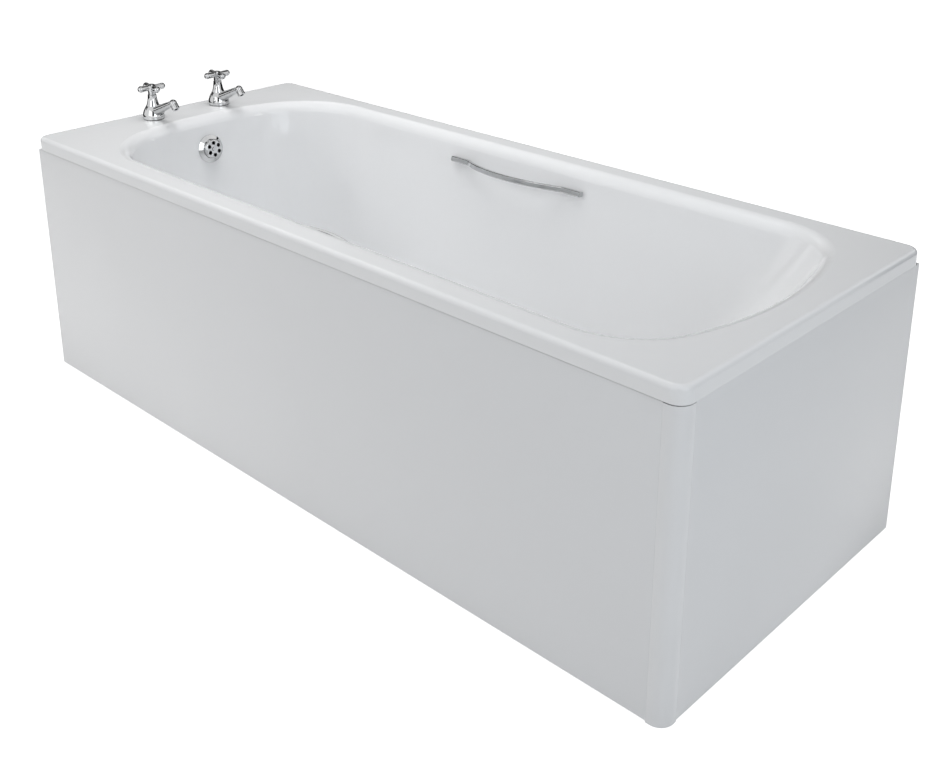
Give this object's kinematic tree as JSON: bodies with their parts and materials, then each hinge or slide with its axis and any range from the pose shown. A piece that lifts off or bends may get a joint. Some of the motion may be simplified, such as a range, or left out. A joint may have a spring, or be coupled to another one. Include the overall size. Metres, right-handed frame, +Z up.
{
  "type": "steel bathtub",
  "caption": "Single-ended enamelled steel bath with pillar taps, bow grips, overflow, lifting plug, levelling feet and white front and end panels round a rounded corner post.",
  "frame": {"origin": "on the floor, under the middle of the bath's rim", "axes": "+X along the bath to its sloping head end, taps at -X; -Y is the side with the front panel; +Z up"},
  "size_m": [1.7, 0.7, 0.6325],
  "materials": {
    "enamel": "white gloss enamel",
    "panel_board": "white gloss wrap over board",
    "post_plastic": "white gloss",
    "zinc_steel": "zinc plated",
    "chrome": "bright chrome",
    "brass": "plain brass",
    "rubber": "black rubber",
    "deadening": "bitumen pad",
    "white_plastic": "white plastic",
    "black_plastic": "black plastic"
  },
  "bodies": {
    "bath": {"bath_shell": "enamel", "leg_rail_tap_end": "zinc_steel", "leg_rail_head_end": "zinc_steel", "rail_studs": "zinc_steel", "rail_pads": "rubber", "rail_nuts": "zinc_steel", "foot_studs": "zinc_steel", "foot_nuts": "zinc_steel", "foot_pads": "black_plastic", "sound_pads": "deadening", "earth_tag": "zinc_steel", "front_panel": "panel_board", "end_panel": "panel_board", "corner_post": "post_plastic", "panel_clips": "zinc_steel", "panel_brackets": "zinc_steel", "end_panel_stay": "zinc_steel", "panel_screws": "zinc_steel", "hot_tap_body": "chrome", "hot_tap_nozzle": "chrome", "hot_headwork": "brass", "hot_shroud": "chrome", "cold_tap_body": "chrome", "cold_tap_nozzle": "chrome", "cold_headwork": "brass", "cold_shroud": "chrome", "tap_gaskets": "rubber", "tap_washers": "white_plastic", "tap_backnuts": "zinc_steel", "overflow_rose": "chrome", "overflow_screw": "chrome", "overflow_seal": "rubber", "overflow_elbow": "white_plastic", "overflow_pipe": "white_plastic", "pipe_clips": "zinc_steel", "waste_flange": "chrome", "waste_seal": "rubber", "waste_gasket": "rubber", "waste_body": "white_plastic", "back_grip": "chrome", "front_grip": "chrome", "grip_seals": "rubber", "grip_studs": "zinc_steel", "grip_nuts": "zinc_steel"},
    "hot_crosshead": {"hot_handle": "chrome", "hot_spindle": "brass", "hot_handle_screw": "brass", "hot_index_cap": "chrome"},
    "hot_valve": {"hot_valve_carrier": "brass", "hot_valve_washer": "rubber"},
    "cold_crosshead": {"cold_handle": "chrome", "cold_spindle": "brass", "cold_handle_screw": "brass", "cold_index_cap": "chrome"},
    "cold_valve": {"cold_valve_carrier": "brass", "cold_valve_washer": "rubber"},
    "plug": {"plug_cap": "chrome", "plug_seal": "rubber", "plug_stem": "brass"}
  },
  "joints": [
    {"name": "hot_handle_turn", "type": "hinge", "parent": "bath", "child": "hot_crosshead", "pos_m": [-0.79, -0.09, 0.6245], "axis": [0, 0, 1], "range_deg": [0, 900]},
    {"name": "hot_valve_lift", "type": "slide", "parent": "bath", "child": "hot_valve", "axis": [0, 0, 1], "range_m": [0, 0.0053]},
    {"name": "cold_handle_turn", "type": "hinge", "parent": "bath", "child": "cold_crosshead", "pos_m": [-0.79, 0.09, 0.6245], "axis": [0, 0, 1], "range_deg": [0, 900]},
    {"name": "cold_valve_lift", "type": "slide", "parent": "bath", "child": "cold_valve", "axis": [0, 0, 1], "range_m": [0, 0.0053]},
    {"name": "plug_lift", "type": "slide", "parent": "bath", "child": "plug", "axis": [0, 0, 1], "range_m": [0, 0.008]}
  ],
  "couplings": [
    {"joint": "hot_valve_lift", "follows": "hot_handle_turn", "m_per_rad": 0.0003342},
    {"joint": "cold_valve_lift", "follows": "cold_handle_turn", "m_per_rad": 0.0003342}
  ]
}
